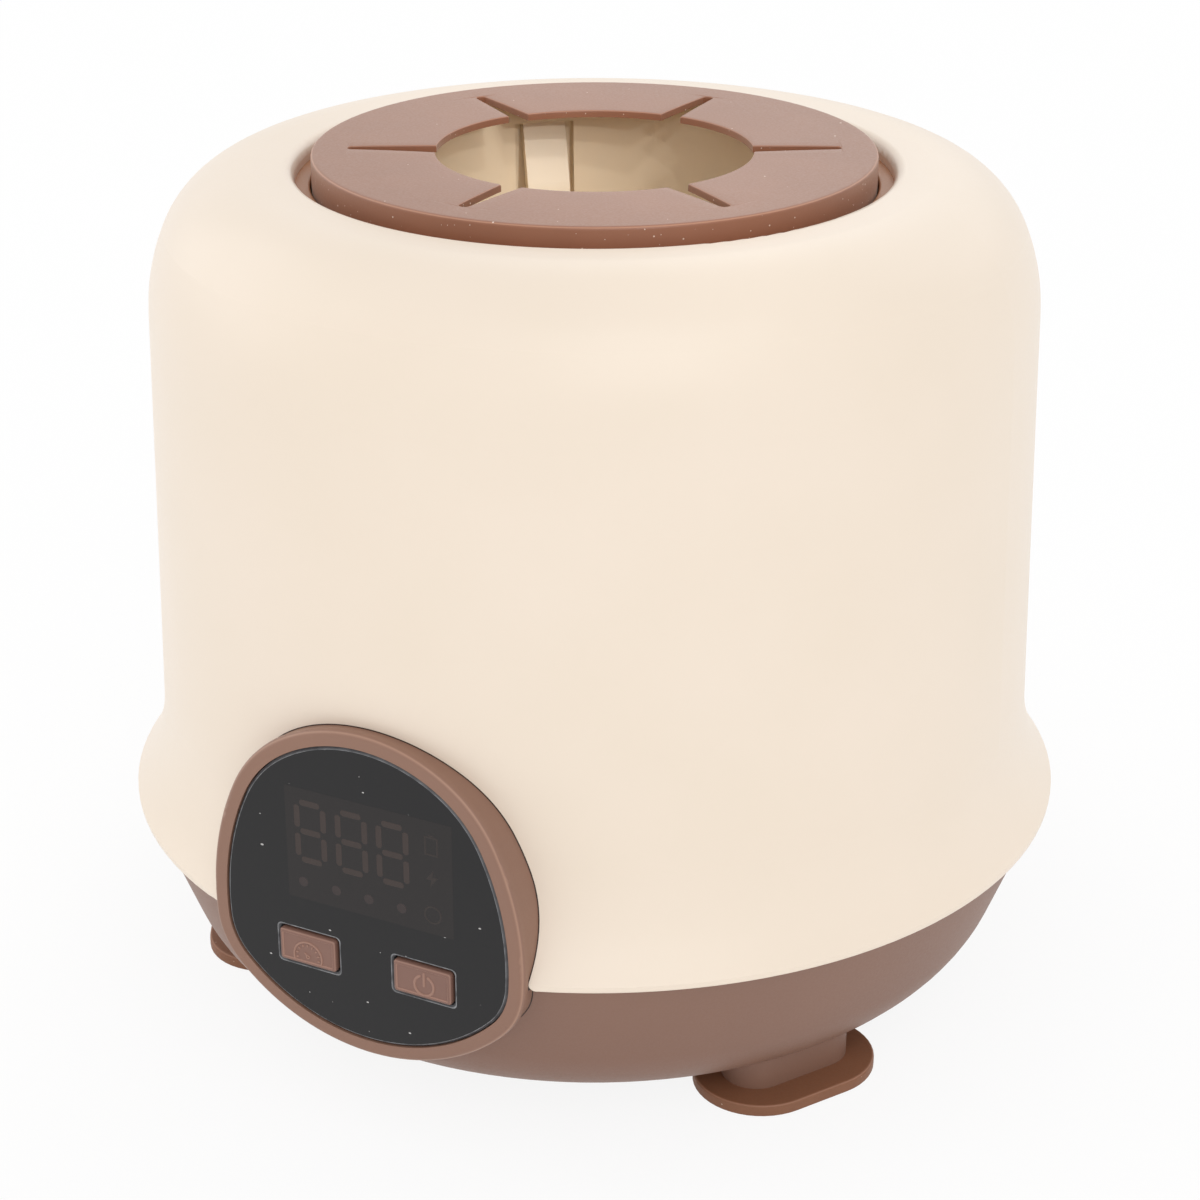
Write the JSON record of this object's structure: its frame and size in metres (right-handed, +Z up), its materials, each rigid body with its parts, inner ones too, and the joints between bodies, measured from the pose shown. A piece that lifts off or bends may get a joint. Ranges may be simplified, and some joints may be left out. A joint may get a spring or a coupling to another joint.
{
  "type": "baby formula mixer",
  "caption": "Bell-shaped tabletop mixer on silicone feet: a slit soft collar over a spinning cup holds and swirls a feeding bottle, with a display and push buttons.",
  "frame": {"origin": "on the cup's axis, at the level of the surface that the feet stand on", "axes": "+Z up along the cup's axis, -Y towards the control panel, +X to the right seen from the front"},
  "size_m": [0.15, 0.1476, 0.1345],
  "materials": {
    "cream_plastic": "satin moulded",
    "cream_cup_plastic": "satin moulded",
    "brown_plastic": "fine matt texture",
    "brown_bezel_plastic": "fine matt texture",
    "brown_key_plastic": "matt",
    "brown_silicone": "soft matt",
    "brown_foot_silicone": "soft matt",
    "black_window": "gloss with a bevelled edge",
    "dark_plastic": "matt",
    "circuit_board": "solder mask",
    "white_plastic": "moulded",
    "bronze": "sintered",
    "steel": "plain",
    "iron": "lacquered",
    "cell_wrap": null
  },
  "bodies": {
    "housing": {"outer_shell": "cream_plastic", "base_bowl": "brown_plastic", "foot_pad_left": "brown_foot_silicone", "foot_pad_right": "brown_foot_silicone", "foot_pad_rear": "brown_foot_silicone", "base_screws": "steel", "panel_bezel": "brown_bezel_plastic", "panel_screws": "steel", "display_lens": "black_window", "led_display": "dark_plastic", "control_board": "circuit_board", "board_screws": "steel", "switch_housings": "dark_plastic", "drive_deck": "white_plastic", "deck_screws": "steel", "upper_bush": "bronze", "lower_bush": "bronze", "thrust_washer": "white_plastic", "motor_can": "steel", "motor_magnets": "iron", "motor_end_cap": "dark_plastic", "motor_screws": "steel", "battery_cells": "cell_wrap", "battery_tray": "white_plastic", "charge_socket": "steel", "charge_board": "circuit_board"},
    "cup": {"bottle_cup": "cream_cup_plastic", "cup_gear": "white_plastic", "cup_screws": "steel", "spindle": "steel", "spindle_clip": "steel"},
    "collar": {"grip_collar": "brown_silicone"},
    "rotor": {"motor_shaft": "steel", "rotor_core": "iron", "motor_pinion": "bronze"},
    "mode_key": {"mode_button": "brown_key_plastic", "mode_plunger": "dark_plastic"},
    "power_key": {"power_button": "brown_key_plastic", "power_plunger": "dark_plastic"}
  },
  "joints": [
    {"name": "cup_spin", "type": "hinge", "parent": "housing", "child": "cup", "pos_m": [0, 0, 0.06], "axis": [0, 0, 1], "continuous": true},
    {"name": "motor_spin", "type": "hinge", "parent": "housing", "child": "rotor", "pos_m": [0.03248, 0.01875, 0.04], "axis": [0, 0, 1], "continuous": true},
    {"name": "collar_lift", "type": "slide", "parent": "cup", "child": "collar", "axis": [0, 0, 1], "range_m": [0, 0.03]},
    {"name": "mode_press", "type": "slide", "parent": "housing", "child": "mode_key", "axis": [0, 1, 0], "range_m": [0, 0.0005], "stiffness_N_per_m": 2500, "springref_m": -0.0002},
    {"name": "power_press", "type": "slide", "parent": "housing", "child": "power_key", "axis": [0, 1, 0], "range_m": [0, 0.0005], "stiffness_N_per_m": 2500, "springref_m": -0.0002}
  ],
  "couplings": [
    {"joint": "motor_spin", "follows": "cup_spin", "ratio": -4}
  ]
}
